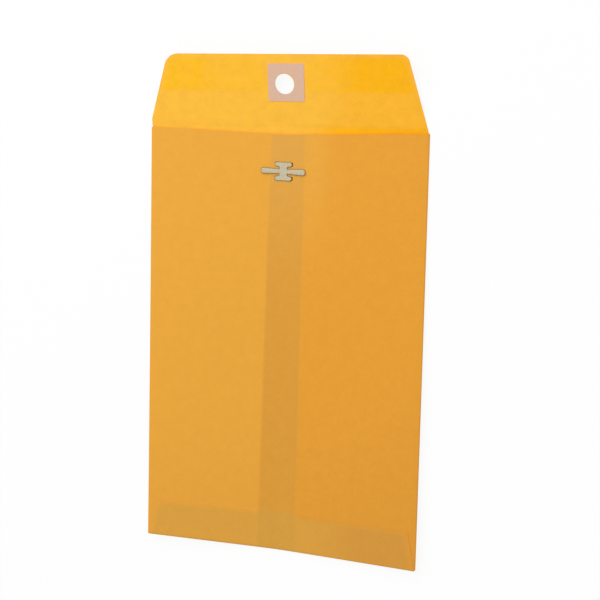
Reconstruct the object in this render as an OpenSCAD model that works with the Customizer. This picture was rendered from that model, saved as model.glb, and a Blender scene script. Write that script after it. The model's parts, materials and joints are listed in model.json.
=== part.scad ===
// Clasp envelope: a folded paper pocket with a closure flap, lying with its address face down.
// Millimetres. X to the right as seen from the clasp side, Y towards the flap, Z up.
// The origin is the middle of the address face.

/* [Pocket] */
// Width between the outsides of the side folds
pocket_w = 165.1; // [120:0.1:260]
// Height from the bottom fold to the crease of the closure flap
pocket_h = 241.3; // [180:0.1:380]
// Thickness of the paper
paper_t = 0.16; // [0.12:0.01:0.24]
// Clear space in the empty pocket, where the claws are clinched
pocket_gap = 0.8; // [0.6:0.05:2]
// Thickness of a film of glue
glue_t = 0.04; // [0.02:0.01:0.1]
// Bare margin between a film of glue and the edges of the paper
glue_margin = 1.5; // [0.5:0.1:3]

/* [Back panels] */
// Overlap of the back panels at the throat
seam_top_w = 20.5; // [17:0.1:24]
// Overlap of the back panels at the bottom fold
seam_bottom_w = 22.8; // [17:0.1:24]
// Sideways place of the middle of the overlap at the throat
seam_top_x = 1.6; // [-2:0.1:2]
// Sideways place of the middle of the overlap at the bottom fold
seam_bottom_x = -2.1; // [-3:0.1:3]
// Distance from the crease down to the ends of the throat
throat_drop = 1.2; // [0.6:0.1:6]
// How much lower the throat is in the middle than at its ends
throat_dip = 2.5; // [0:0.1:6]

/* [Bottom flap] */
// Height of the bottom flap on the back
bottom_flap_h = 22.5; // [14:0.5:30]
// How far each slanted end comes in between the fold and the free edge
bottom_flap_taper = 4.5; // [2:0.5:14]

/* [Closure flap] */
// Length of the closure flap from its crease to its free edge
flap_l = 40.2; // [37:0.1:55]
// How far the base of the flap is inside the side folds
flap_base_inset = 0.7; // [0.2:0.1:3]
// How far the base of the flap is to the left of the middle
flap_base_shift = 0.5; // [0:0.1:0.6]
// How far each slanted side comes in between the base and the free edge
flap_taper = 11.3; // [4:0.1:18]
// Height of the upright left shoulder above the crease
left_shoulder_h = 3.4; // [0.5:0.1:6]
// Height of the upright right shoulder above the crease
right_shoulder_h = 0.5; // [0.5:0.1:6]
// Radius of the left corner of the free edge
left_corner_r = 9; // [2:0.5:10]
// Radius of the right corner of the free edge
right_corner_r = 5; // [2:0.5:10]
// Angle of the open flap above the ground
flap_lift = 7.3; // [2:0.1:30]
// Gap between the front panel and the flap, where the paper bends
crease_gap = 0.1; // [0.06:0.01:0.2]
// Free height between the closed flap and the flat prongs
closing_gap = 0.15; // [0.1:0.01:0.5]

/* [Hole, patch and gum] */
// Distance of the hole from the crease
hole_from_crease = 24.2; // [22:0.1:25]
// Sideways place of the hole
hole_x = 0.4; // [-0.4:0.1:0.4]
// Free gap between the corners of the upright prongs and the edge of the hole
hole_clearance = 1.5; // [1.4:0.1:3]
// Width of the patch
patch_w = 21.2; // [18:0.1:24]
// Height of the patch, measured along the flap
patch_h = 20.6; // [18:0.1:24]
// How far the middle of the patch is to the right of the hole
patch_shift_x = 0.7; // [-2:0.1:2]
// How much further from the crease the middle of the patch is than the hole
patch_shift_y = 0.6; // [-2:0.1:2]
// Thickness of the patch
patch_t = 0.18; // [0.1:0.01:0.3]
// Height of the gum strips, measured along the flap
gum_h = 19.5; // [10:0.5:20]
// Bare margin between the gum and the edges of the flap
gum_margin = 1.5; // [1:0.1:4]
// Bare gap between the gum and the patch
gum_patch_gap = 1; // [0.5:0.1:8]
// Thickness of the dried gum
gum_t = 0.03; // [0.02:0.01:0.06]

/* [Clasp] */
// Sideways place of the middle of the clasp
clasp_x = -0.6; // [-0.6:0.1:0.4]
// How much nearer to the crease the clasp is than the hole
clasp_shift_y = 0.4; // [0:0.1:0.6]
// Turn of the clasp on the back
clasp_turn = -1.3; // [-3:0.1:3]
// Thickness of the metal
clasp_t = 0.35; // [0.25:0.01:0.4]
// Width of the bars at the top and the bottom of the base
bar_w = 10.2; // [10:0.1:12]
// Height of each bar
bar_h = 2.6; // [2.4:0.1:3.4]
// Height of the whole base
base_h = 10.4; // [10.4:0.1:13]
// Radius of the corners where the waist meets a bar
waist_fillet_r = 0.8; // [0.3:0.1:0.8]
// Distance between the fold lines of the prongs
prong_spread = 5.1; // [4.5:0.1:5.4]
// Length of each prong from its fold line
prong_l = 10.6; // [9:0.1:11.5]
// Width of each prong
prong_w = 3.2; // [3:0.05:3.6]
// Radius of the corners of a prong's tip
prong_tip_r = 1.2; // [0.4:0.1:1.4]
// Gap between a prong's round root and the waist
prong_fit = 0.03; // [0.02:0.01:0.06]
// Height of the flat prongs above the paper
prong_lift = 0.15; // [0.1:0.01:0.3]
// Length of each clinched claw
claw_l = 3.2; // [2:0.1:3.6]
// Gap round a claw in its slot
slot_gap = 0.05; // [0.03:0.01:0.1]

/* [Hidden] */
round_fn = 96;
small_round_fn = 48;
cut = 0.5;
corner_trim = 0.01;
// Heights of the layers
left_z = paper_t + pocket_gap;
seam_z = left_z + paper_t;
right_z = seam_z + glue_t;
back_z = right_z + paper_t;
bottom_flap_z = back_z + glue_t;
stack_z = bottom_flap_z + paper_t;
prong_z = back_z + prong_lift + clasp_t / 2;
prong_top_z = prong_z + clasp_t / 2;
crease_z = (prong_top_z + closing_gap + patch_t + paper_t) / 2;
// Edges of the flat panels, where the folds start
left_r = seam_z / 2;
right_r = back_z / 2;
bottom_r = stack_z / 2;
left_x = -pocket_w / 2 + left_r;
right_x = pocket_w / 2 - right_r;
bottom_y = -pocket_h / 2 + bottom_r;
crease_y = pocket_h / 2;
throat_y = crease_y - throat_drop;
throat_slope = throat_dip / (pocket_w / 2);
// Free edges of the back panels in the seam
left_free_top_x = seam_top_x + seam_top_w / 2;
left_free_bottom_x = seam_bottom_x + seam_bottom_w / 2;
right_free_top_x = seam_top_x - seam_top_w / 2;
right_free_bottom_x = seam_bottom_x - seam_bottom_w / 2;
left_free_top_y = throat_y - throat_slope * (left_free_top_x + pocket_w / 2);
right_free_top_y = throat_y - throat_slope * (pocket_w / 2 - right_free_top_x);
bottom_flap_y = -pocket_h / 2 + bottom_flap_h;
bottom_flap_x = right_x - bottom_flap_taper;
// Closure flap
flap_base_x = pocket_w / 2 - flap_base_inset;
flap_free_x = flap_base_x - flap_taper;
left_slope = (flap_taper + flap_base_shift) / (flap_l - left_shoulder_h);
right_slope = (flap_taper - flap_base_shift) / (flap_l - right_shoulder_h);
flap_face_z = paper_t - crease_z;
prong_reach_x = prong_spread / 2 + clasp_t / 2 + abs(hole_x - clasp_x);
prong_reach_y = prong_w / 2 + clasp_shift_y;
hole_r = sqrt(pow(prong_reach_x, 2) + pow(prong_reach_y, 2)) + hole_clearance;
patch_x = hole_x + patch_shift_x;
patch_y = hole_from_crease + patch_shift_y;
gum_high_y = flap_l - gum_margin;
gum_low_y = gum_high_y - gum_h;
// Clasp
clasp_y = crease_y - hole_from_crease + clasp_shift_y;
waist_w = prong_spread - clasp_t - 2 * prong_fit;
claw_x = bar_w / 2 - clasp_t;
claw_y = base_h / 2 - bar_h;
claw_z = left_z - clasp_t;
bar_corner_r = 0.5;

paper_colour = [0.91, 0.66, 0.25];
glue_colour = [0.85, 0.78, 0.60];
gum_colour = [0.96, 0.69, 0.16];
patch_colour = [0.87, 0.73, 0.63];
metal_colour = [0.74, 0.70, 0.60];

// A flat piece cut from a sheet, its lower face at the height z
module flat(points, z, t) {
    translate([0, 0, z])
        linear_extrude(t)
            polygon(points);
}

// Half a tube of folded paper along Z, open towards +X
module fold_along_z(r, l) {
    difference() {
        cylinder(r = r, h = l, $fn = round_fn);
        translate([0, 0, -cut])
            cylinder(r = r - paper_t, h = l + 2 * cut, $fn = round_fn);
        translate([0, -r - cut, -cut])
            cube([r + cut, 2 * (r + cut), l + 2 * cut]);
    }
}

// Moves a child from the clasp's own place to its place on the back
module on_back() {
    translate([clasp_x, clasp_y, 0])
        rotate([0, 0, clasp_turn])
            children();
}

// Moves a child from the crease to the open flap
module on_flap() {
    translate([0, crease_y, crease_z])
        rotate([flap_lift, 0, 0])
            children();
}

// The four slots that the claws go through
module claw_slots() {
    for (side_x = [-1, 1], side_y = [-1, 1])
        on_back()
            translate([
                side_x * (claw_x + clasp_t / 2),
                side_y * (claw_y + bar_h / 2),
                (left_z + back_z) / 2
            ])
                cube([clasp_t + 2 * slot_gap, bar_h + 2 * slot_gap, back_z], center = true);
}

module front_panel() {
    color(paper_colour)
        flat([
            [left_x, bottom_y],
            [right_x, bottom_y],
            [right_x, crease_y],
            [left_x, crease_y]
        ], 0, paper_t);
}

module left_side_fold() {
    color(paper_colour)
        translate([left_x, throat_y, left_r])
            rotate([90, 0, 0])
                fold_along_z(left_r, throat_y - bottom_y);
}

module right_side_fold() {
    color(paper_colour)
        translate([right_x, bottom_y, right_r])
            rotate([90, 0, 180])
                fold_along_z(right_r, throat_y - bottom_y);
}

module bottom_fold() {
    color(paper_colour)
        translate([left_x, bottom_y, bottom_r])
            rotate([0, 90, 0])
                rotate([0, 0, 90])
                    fold_along_z(bottom_r, right_x - left_x);
}

module left_back_panel() {
    color(paper_colour)
        difference() {
            flat([
                [left_x, bottom_y],
                [left_free_bottom_x, bottom_y],
                [left_free_top_x, left_free_top_y],
                [left_x, throat_y]
            ], left_z, paper_t);
            claw_slots();
        }
}

module right_back_panel() {
    color(paper_colour)
        difference() {
            flat([
                [right_free_bottom_x, bottom_y],
                [right_x, bottom_y],
                [right_x, throat_y],
                [right_free_top_x, right_free_top_y]
            ], right_z, paper_t);
            claw_slots();
        }
}

module bottom_flap() {
    color(paper_colour)
        flat([
            [left_x, bottom_y],
            [right_x, bottom_y],
            [bottom_flap_x, bottom_flap_y],
            [-bottom_flap_x, bottom_flap_y]
        ], bottom_flap_z, paper_t);
}

module seam_glue() {
    color(glue_colour)
        difference() {
            flat([
                [right_free_bottom_x + glue_margin, bottom_y + glue_margin],
                [left_free_bottom_x - glue_margin, bottom_y + glue_margin],
                [left_free_top_x - glue_margin, left_free_top_y - glue_margin],
                [right_free_top_x + glue_margin, right_free_top_y - glue_margin]
            ], seam_z, glue_t);
            claw_slots();
        }
}

// Sideways place of the right back panel's free edge at the height y
function right_free_x(y) = right_free_bottom_x + (right_free_top_x - right_free_bottom_x)
    * (y - bottom_y) / (right_free_top_y - bottom_y);

// Thin over the right back panel, thicker over the left one, which lies lower
module bottom_flap_glue() {
    low_y = bottom_y + glue_margin;
    high_y = bottom_flap_y - glue_margin;
    low_x = right_x - 2 * glue_margin;
    high_x = bottom_flap_x - glue_margin;
    step_low = [right_free_x(low_y), low_y];
    step_high = [right_free_x(high_y), high_y];
    color(glue_colour) {
        flat([step_low, [low_x, low_y], [high_x, high_y], step_high], back_z, glue_t);
        flat([[-low_x, low_y], step_low, step_high, [-high_x, high_y]], seam_z, bottom_flap_z - seam_z);
    }
}

module closure_flap() {
    color(paper_colour)
        on_flap()
            translate([0, 0, -crease_z])
                difference() {
                    union() {
                        flap_sheet();
                        flap_corner(-1, left_slope, left_corner_r);
                        flap_corner(1, right_slope, right_corner_r);
                    }
                    translate([hole_x, hole_from_crease, -cut])
                        cylinder(r = hole_r, h = paper_t + 2 * cut, $fn = round_fn);
                }
}

// Distance from the sharp corner of the free edge to the start of its rounding
function corner_run(slope, r) = r * tan((90 - atan(slope)) / 2);

// The flap with its two free corners cut off straight
module flap_sheet() {
    left_run = corner_run(left_slope, left_corner_r);
    right_run = corner_run(right_slope, right_corner_r);
    left_down = left_run * cos(atan(left_slope));
    right_down = right_run * cos(atan(right_slope));
    flat([
        [-flap_base_x - flap_base_shift, crease_gap],
        [flap_base_x - flap_base_shift, crease_gap],
        [flap_base_x - flap_base_shift, right_shoulder_h],
        [flap_free_x + right_slope * right_down, flap_l - right_down],
        [flap_free_x - right_run, flap_l],
        [-flap_free_x + left_run, flap_l],
        [-flap_free_x - left_slope * left_down, flap_l - left_down],
        [-flap_base_x - flap_base_shift, left_shoulder_h]
    ], 0, paper_t);
}

// The round of one free corner, a hair smaller so that it crosses the straight cut and only nears the edges
module flap_corner(side, slope, r) {
    translate([side * (flap_free_x - corner_run(slope, r)), flap_l - r, 0])
        cylinder(r = r - corner_trim, h = paper_t, $fn = round_fn);
}

module hole_patch() {
    color(patch_colour)
        on_flap()
            difference() {
                translate([patch_x - patch_w / 2, patch_y - patch_h / 2, flap_face_z])
                    cube([patch_w, patch_h, patch_t]);
                translate([hole_x, hole_from_crease, flap_face_z - cut])
                    cylinder(r = hole_r, h = patch_t + 2 * cut, $fn = round_fn);
            }
}

// One strip of gum between the patch and a slanted side of the flap, cut off at the flap's round corner
module gum_strip(side, slope, corner_r) {
    inner_x = side * patch_x + patch_w / 2 + gum_patch_gap;
    high_x = flap_free_x - gum_margin / cos(atan(slope)) + slope * gum_margin;
    off = corner_r / 3;
    points = [
        [inner_x, gum_low_y],
        [high_x + slope * gum_h, gum_low_y],
        [high_x + slope * off, gum_high_y - off],
        [high_x - off, gum_high_y],
        [inner_x, gum_high_y]
    ];
    on_flap()
        flat([for (p = points) [side * p[0], p[1]]], flap_face_z, gum_t);
}

module left_gum() {
    color(gum_colour)
        gum_strip(-1, left_slope, left_corner_r);
}

module right_gum() {
    color(gum_colour)
        gum_strip(1, right_slope, right_corner_r);
}

// Outline of one bar of the base with its corners rounded
module bar_outline() {
    inner_x = bar_w / 2 - bar_corner_r;
    square([bar_w, bar_h - 2 * bar_corner_r], center = true);
    square([2 * inner_x, bar_h], center = true);
    for (side_x = [-1, 1], side_y = [-1, 1])
        translate([side_x * inner_x, side_y * (bar_h / 2 - bar_corner_r)])
            circle(r = bar_corner_r, $fn = small_round_fn);
}

// Concave corner between the waist and a bar
module waist_corner() {
    difference() {
        square([waist_fillet_r, waist_fillet_r]);
        translate([waist_fillet_r, 0])
            circle(r = waist_fillet_r, $fn = small_round_fn);
    }
}

module clasp_base() {
    color(metal_colour)
        on_back() {
            translate([0, 0, back_z])
                linear_extrude(clasp_t) {
                    square([waist_w, base_h - bar_h], center = true);
                    for (side_y = [-1, 1])
                        translate([0, side_y * (claw_y + bar_h / 2)])
                            bar_outline();
                    for (side_x = [-1, 1], side_y = [-1, 1])
                        scale([side_x, side_y])
                            translate([waist_w / 2, claw_y - waist_fillet_r])
                                waist_corner();
                }
            for (side_x = [-1, 1], side_y = [-1, 1])
                scale([side_x, side_y, 1])
                    claw();
        }
}

// One claw: down through its slot, then in under the paper
module claw() {
    translate([claw_x, claw_y + bar_corner_r, claw_z])
        cube([clasp_t, bar_h - 2 * bar_corner_r, back_z - claw_z + clasp_t]);
    translate([claw_x + clasp_t - claw_l, claw_y + bar_corner_r, claw_z])
        cube([claw_l, bar_h - 2 * bar_corner_r, clasp_t]);
}

// One prong lying flat, its round root on the fold line
module prong(side) {
    straight_l = prong_l - prong_tip_r;
    color(metal_colour)
        on_back()
            translate([side * prong_spread / 2, 0, prong_z])
                scale([side, 1, 1]) {
                    translate([0, prong_w / 2, 0])
                        rotate([90, 0, 0])
                            cylinder(d = clasp_t, h = prong_w, $fn = small_round_fn);
                    translate([0, -prong_w / 2, -clasp_t / 2])
                        cube([straight_l, prong_w, clasp_t]);
                    translate([0, prong_tip_r - prong_w / 2, -clasp_t / 2])
                        cube([prong_l, prong_w - 2 * prong_tip_r, clasp_t]);
                    for (side_y = [-1, 1])
                        translate([straight_l, side_y * (prong_w / 2 - prong_tip_r), -clasp_t / 2])
                            cylinder(r = prong_tip_r, h = clasp_t, $fn = small_round_fn);
                }
}

module left_prong() {
    prong(-1);
}

module right_prong() {
    prong(1);
}

front_panel();
left_side_fold();
right_side_fold();
bottom_fold();
left_back_panel();
right_back_panel();
bottom_flap();
seam_glue();
bottom_flap_glue();
closure_flap();
hole_patch();
left_gum();
right_gum();
clasp_base();
left_prong();
right_prong();
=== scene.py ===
"""Dresses the clasp envelope: one cut sheet of kraft paper folded round the CAD frame, with its glue, gum,
patch and clasp."""

import json
import math
from functools import partial

import bpy
import numpy as np
from mathutils import Matrix, Vector
from mathutils.geometry import delaunay_2d_cdt


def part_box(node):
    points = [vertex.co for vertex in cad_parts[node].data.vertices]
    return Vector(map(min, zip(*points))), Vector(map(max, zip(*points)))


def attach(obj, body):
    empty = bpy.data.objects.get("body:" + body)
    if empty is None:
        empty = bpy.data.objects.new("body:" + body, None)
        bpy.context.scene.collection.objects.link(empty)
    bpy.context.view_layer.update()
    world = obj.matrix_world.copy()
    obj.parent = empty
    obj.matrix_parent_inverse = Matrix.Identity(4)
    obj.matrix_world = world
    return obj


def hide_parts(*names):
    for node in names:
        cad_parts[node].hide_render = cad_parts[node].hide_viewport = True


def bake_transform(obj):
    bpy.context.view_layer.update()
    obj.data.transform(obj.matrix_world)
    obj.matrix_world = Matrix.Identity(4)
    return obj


bl_info = {
    "name": "Clasp envelope",
    "version": (1, 0, 0),
    "blender": (4, 5, 0),
    "location": "View3D > Sidebar > Envelope",
    "description": "Folds a kraft paper envelope with a metal clasp round its CAD frame",
    "category": "Add Mesh",
}

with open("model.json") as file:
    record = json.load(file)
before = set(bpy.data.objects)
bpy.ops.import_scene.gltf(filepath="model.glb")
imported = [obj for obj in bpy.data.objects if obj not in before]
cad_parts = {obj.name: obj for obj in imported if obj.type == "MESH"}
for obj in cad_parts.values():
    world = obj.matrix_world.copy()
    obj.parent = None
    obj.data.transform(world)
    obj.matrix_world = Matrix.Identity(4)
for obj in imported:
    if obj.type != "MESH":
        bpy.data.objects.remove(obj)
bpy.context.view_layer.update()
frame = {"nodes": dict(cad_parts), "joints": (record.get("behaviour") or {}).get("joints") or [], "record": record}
MM = 0.001
# Edges that turn by more than this are shaded sharp, and are rounded on the worn metal
SHARP_ANGLE = math.radians(50)
# Thickness of the glue and the gum once they are dry
FILM = 0.02 * MM


# Sizes read from the frame

def joint(name):
    """The record's joint of that name."""
    return next(j for j in frame["joints"] if j["name"] == name)


def node_points(node):
    """The vertices of a CAD node at rest, one row each, in metres."""
    return np.array([v.co for v in frame["nodes"][node].data.vertices], float)


def corner(points, direction):
    """The point that lies furthest in a direction."""
    return points[np.argmax(points @ np.array(direction, float))]


CREASE_Y, CREASE_Z = joint("flap_crease")["pos_m"][1:]
FLAP_LIFT = -math.radians(joint("flap_crease")["range_deg"][0])


def flap_flat(points):
    """Points of the open flap, as (across, along the flap from the crease, above the crease line)."""
    turn = np.array(Matrix.Rotation(-FLAP_LIFT, 3, "X"))
    return (np.asarray(points, float) - [0, CREASE_Y, CREASE_Z]) @ turn.T


FRONT_LOW, FRONT_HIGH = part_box("front_panel")
PAPER = FRONT_HIGH.z - FRONT_LOW.z
LEFT_X, RIGHT_X = FRONT_LOW.x, FRONT_HIGH.x
BOTTOM_Y = FRONT_LOW.y
HALF_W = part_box("right_side_fold")[1].x
FRONT_Z = PAPER / 2
LEFT_Z = sum(c.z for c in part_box("left_back_panel")) / 2
RIGHT_Z = sum(c.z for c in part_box("right_back_panel")) / 2
BOTTOM_FLAP_Z = sum(c.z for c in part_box("bottom_flap")) / 2
BACK_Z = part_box("right_back_panel")[1].z
THROAT_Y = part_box("left_side_fold")[1].y
LEFT_R = (LEFT_Z - FRONT_Z) / 2
RIGHT_R = (RIGHT_Z - FRONT_Z) / 2
BOTTOM_R = (BOTTOM_FLAP_Z - FRONT_Z) / 2
LEFT_FREE_BOTTOM, LEFT_FREE_TOP = (corner(node_points("left_back_panel"), (1, up, 0)) for up in (-1, 1))
RIGHT_FREE_BOTTOM, RIGHT_FREE_TOP = (corner(node_points("right_back_panel"), (-1, up, 0)) for up in (-1, 1))
# How far the free edges of the back panels move sideways for each metre that they rise
LEFT_SLANT = (LEFT_FREE_TOP[0] - LEFT_FREE_BOTTOM[0]) / (LEFT_FREE_TOP[1] - LEFT_FREE_BOTTOM[1])
RIGHT_SLANT = (RIGHT_FREE_TOP[0] - RIGHT_FREE_BOTTOM[0]) / (RIGHT_FREE_TOP[1] - RIGHT_FREE_BOTTOM[1])
BOTTOM_FLAP_TIP = corner(node_points("bottom_flap"), (1, 3, 0))
# Where the bottom flap starts and ends on the flat blank
BOTTOM_FOLD_Y = BOTTOM_Y - math.pi * BOTTOM_R
BOTTOM_END_Y = BOTTOM_FOLD_Y - (BOTTOM_FLAP_TIP[1] - BOTTOM_Y)
HOLE = next(m for m in frame["record"]["mounts"] if m["name"] == "flap_hole")
HOLE_R = HOLE["dims"]["r_mm"] * MM
HOLE_X, HOLE_U = flap_flat([HOLE["pos_m"]])[0, :2]
FLAP_POINTS = flap_flat(node_points("closure_flap"))
FLAP_L = FLAP_POINTS[:, 1].max()
LEFT_SHOULDER = corner(FLAP_POINTS, (-1, 0.05, 0))
RIGHT_SHOULDER = corner(FLAP_POINTS, (1, 0.05, 0))
# Where the flap's own measure starts on the flat blank: the raised hinge line carries the tilted flap out
FLAP_START = CREASE_Y + (CREASE_Z - FRONT_Z) * math.sin(FLAP_LIFT)
PRONG_JOINTS = {"left": joint("left_prong_fold"), "right": joint("right_prong_fold")}
CLASP_AXIS = Vector(PRONG_JOINTS["left"]["axis"])
CLASP_CENTRE = (Vector(PRONG_JOINTS["left"]["pos_m"]) + Vector(PRONG_JOINTS["right"]["pos_m"])) / 2
CLASP_TURN = -math.atan2(CLASP_AXIS.x, CLASP_AXIS.y)
CLASP_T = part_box("left_prong")[1].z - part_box("left_prong")[0].z
PRONG_SPREAD = (Vector(PRONG_JOINTS["right"]["pos_m"]) - Vector(PRONG_JOINTS["left"]["pos_m"])).length


# Settings that a user would change

def size(name, description, default):
    """A length property in metres."""
    return bpy.props.FloatProperty(
        name=name, description=description, default=default, unit="LENGTH", precision=5
    )


def linear(hex_value):
    """An sRGB hex colour as linear RGBA."""
    channels = [int(hex_value[i:i + 2], 16) / 255 for i in (1, 3, 5)]
    return [c / 12.92 if c <= 0.04045 else ((c + 0.055) / 1.055) ** 2.4 for c in channels] + [1.0]


def tint(name, description, default):
    """A colour property, whose default is an sRGB hex value."""
    return bpy.props.FloatVectorProperty(
        name=name, description=description, default=linear(default), size=4, min=0, max=1, subtype="COLOR"
    )


def share(name, description, default):
    """A plain factor from 0 to 1."""
    return bpy.props.FloatProperty(
        name=name, description=description, default=default, min=0, max=1, subtype="FACTOR"
    )


class PaperSettings(bpy.types.PropertyGroup):
    """Sizes and colours of the paper, the patch, the gum and the glue"""

    grid: size("Grid", "Spacing of the points in the flat cut", 2.4 * MM)
    left_rise: size("Left rise", "Height of the lower left corner above the floor", 4.8 * MM)
    right_rise: size("Right rise", "Height of the lower right corner above the floor", 3.4 * MM)
    flap_free_w: size("Free edge", "Width of the flap at its free edge, corners unrounded", 141.1 * MM)
    left_corner_r: size("Left corner", "Radius of the flap's left free corner", 9 * MM)
    right_corner_r: size("Right corner", "Radius of the flap's right free corner", 5 * MM)
    bend: size("Crease bend", "Length of paper that bends at the crease", 3.2 * MM)
    hole_slip: size("Hole slip", "How far the hole in the paper is off the hole in the patch", 0.6 * MM)
    inside_gloss: share("Inside gloss", "Specular level of the unglazed inside and of its gum", 0.12)
    inside_roughness: share("Inside roughness", "Roughness of the unglazed inside", 0.65)
    # Painted sheen: the left panel is drawn paler and whiter, as its half of the valley catches the soft box
    left_sheen_colour: tint("Left panel", "Outside of the left back panel", "#E9A327")
    # Painted shade: the left panel is drawn darker towards the bottom, where the light falls off
    left_low_shade_colour: tint("Lower left", "Outside of the left back panel near the bottom flap", "#E6A028")
    # Painted shade: the right half of the valley, turned from the light, is drawn darker
    right_shade_colour: tint("Right panel", "Outside of the right back panel", "#E69B19")
    # Painted shade: darker still towards the lower right corner, where the light falls off
    low_shade_colour: tint("Lower right", "Outside of the right back panel near its lower corner", "#DF951C")
    # Painted light: the right panel is drawn lighter beside the top of the seam, where its painted shade fades out
    seam_side_light_colour: tint("Streak", "Outside beside the top of the seam", "#E9A42C")
    # Painted shade: the doubled seam lets less light through, and is darker further down, where the light falls
    # off
    seam_top_shade_colour: tint("Seam top", "Outside of the seam at the throat", "#E0A035")
    seam_shade_colour: tint("Seam", "Outside of the seam further down", "#DB9724")
    # Painted shade: the glued bottom flap and the layers under it let less light through; darker at the right and
    # over the seam
    bottom_flap_shade_colour: tint("Bottom flap", "Outside of the glued bottom flap", "#DB9C2D")
    bottom_right_shade_colour: tint("Bottom right", "Outside of the bottom flap's right part", "#D5932A")
    doubled_shade_colour: tint("Bottom seam", "Outside of the bottom flap over the seam", "#D69A2E")
    # Partly painted light: brighter as a single layer lets through light from the floor under it, and partly as
    # unglazed paper
    inside_colour: tint("Inside", "Inside of the sheet", "#FFBF3B")
    inside_right_colour: tint("Inside right", "Inside of the sheet at the right of the flap", "#FFB82D")
    # Painted shade along the crease: darker and deeper in colour, as light bounced in the fold would make it
    crease_shade_colour: tint("Crease", "Inside of the sheet along the crease", "#FBBC3B")
    crease_right_shade_colour: tint("Crease right", "Inside of the sheet along the right of the crease", "#FDB300")
    # Painted highlight on the cut edge
    edge_highlight_colour: tint("Cut edge", "Cut edge of the sheet", "#EFBE6C")
    fibre_colour: tint("Fibres", "Palest fibres in the pulp", "#F6D9A4")
    patch_colour: tint("Patch", "Reinforcing patch", "#DDB49B")
    gum_colour: tint("Gum", "What the dried gum lets through of the paper's colour", "#FFFD18")
    glue_colour: tint("Glue", "Dried glue in the seams", "#D9C79A")


class ClaspSettings(bpy.types.PropertyGroup):
    """Sizes and colours of the stamped clasp"""

    bar_w: size("Bar width", "Width of the bars of the base", 10.2 * MM)
    bar_h: size("Bar height", "Height of each bar", 2.6 * MM)
    base_h: size("Base height", "Height of the whole base", 10.4 * MM)
    waist_w: size("Waist", "Width of the waist between the fold lines", 4.69 * MM)
    bend_r: size("Claw bend", "Radius of the bends of a claw", 0.3 * MM)
    claw_l: size("Claw", "Length of a clinched claw", 3.2 * MM)
    prong_l: size("Prong length", "Length of a prong from its fold line", 10.6 * MM)
    left_prong_w: size("Left prong width", "Width of the left prong near its tip", 3.2 * MM)
    right_prong_w: size("Right prong width", "Width of the right prong near its tip", 3.4 * MM)
    left_tip_r: size("Left tip", "Radius of the corners of the left prong's tip", 0.8 * MM)
    right_tip_r: size("Right tip", "Radius of the corners of the right prong's tip", 1.65 * MM)
    root_w: size("Root width", "Width of a prong at its fold line", 2.6 * MM)
    colour: tint("Tin plate", "Dull tin plate", "#BDB398")
    # Painted shadow: a dark outline along the rim, where the stamping sits on the paper
    rim_shadow_colour: tint("Rim", "Worn rim of the stamping", "#5E4F38")
    sheared_colour: tint("Sheared edge", "Bare steel of the sheared edge", "#6E6350")
    rubbed_colour: tint("Rubbed edge", "Rubbed places of the sheared edge", "#A89B80")
    # Width of the painted shadow along the rim
    rim: size("Rim width", "Width of the worn rim of the stamping", 0.42 * MM)
    roughness: share("Roughness", "Roughness of the tin plate", 0.46)


class StageSettings(bpy.types.PropertyGroup):
    """Camera, floor and light"""

    lens: bpy.props.FloatProperty(
        name="Lens", description="Focal length in millimetres", default=81.93, subtype="DISTANCE_CAMERA"
    )
    camera_place: bpy.props.FloatVectorProperty(
        name="Camera",
        description="Place of the camera",
        default=(0.28455, 0.13965, 0.7023),
        subtype="TRANSLATION",
    )
    camera_turn: bpy.props.FloatVectorProperty(
        name="Camera turn",
        description="Rotation of the camera",
        default=tuple(math.radians(a) for a in (-8.245, 21.49, 0.99)),
        subtype="EULER",
    )
    ambient: bpy.props.FloatProperty(
        name="Ambient", description="Strength of the surroundings", default=0.65
    )
    key_power: bpy.props.FloatProperty(
        name="Key", description="Power of the soft box", default=15.2, unit="POWER"
    )
    floor_colour: tint("Floor", "Colour of the floor", "#FBFBFA")
    white_share: share("White share", "How much of the floor is plain white to the camera", 0.9)


# Flat cuts

def smooth(t):
    """A soft step from 0 to 1."""
    t = np.clip(t, 0, 1)
    return t * t * (3 - 2 * t)


def arc(centre, radius, start, end, steps):
    """Points on an arc from one angle to another, in degrees."""
    angles = np.radians(np.linspace(start, end, steps + 1))
    return np.column_stack([centre[0] + radius * np.cos(angles), centre[1] + radius * np.sin(angles)])


def rounded(points, radii, steps=8):
    """A closed outline whose corners are rounded, each with its own radius; 0 keeps a corner sharp."""
    points = np.asarray(points, float)
    made = []
    for i, point in enumerate(points):
        before = points[i - 1] - point
        after = points[(i + 1) % len(points)] - point
        before /= np.linalg.norm(before)
        after /= np.linalg.norm(after)
        half = math.acos(max(-1.0, min(1.0, float(before @ after)))) / 2
        if radii[i] == 0:
            made.append(point)
            continue
        middle = (before + after) / np.linalg.norm(before + after)
        centre = point + middle * radii[i] / math.sin(half)
        first = point + before * radii[i] / math.tan(half) - centre
        last = point + after * radii[i] / math.tan(half) - centre
        start = math.atan2(first[1], first[0])
        sweep = (math.atan2(last[1], last[0]) - start + math.pi) % math.tau - math.pi
        for k in range(steps + 1):
            a = start + sweep * k / steps
            made.append(centre + radii[i] * np.array([math.cos(a), math.sin(a)]))
    return np.array(made)


def ring(centre, radius, steps=96):
    """A closed circle."""
    return arc(centre, radius, 0, 360 - 360 / steps, steps - 1)


def stepped(loop, spacing):
    """A closed loop with points added so that no edge is longer than the spacing."""
    made = []
    for a, b in zip(loop, np.roll(loop, -1, axis=0)):
        steps = max(1, math.ceil(np.linalg.norm(b - a) / spacing))
        made.extend(a + (b - a) * k / steps for k in range(steps))
    return np.array(made)


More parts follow.
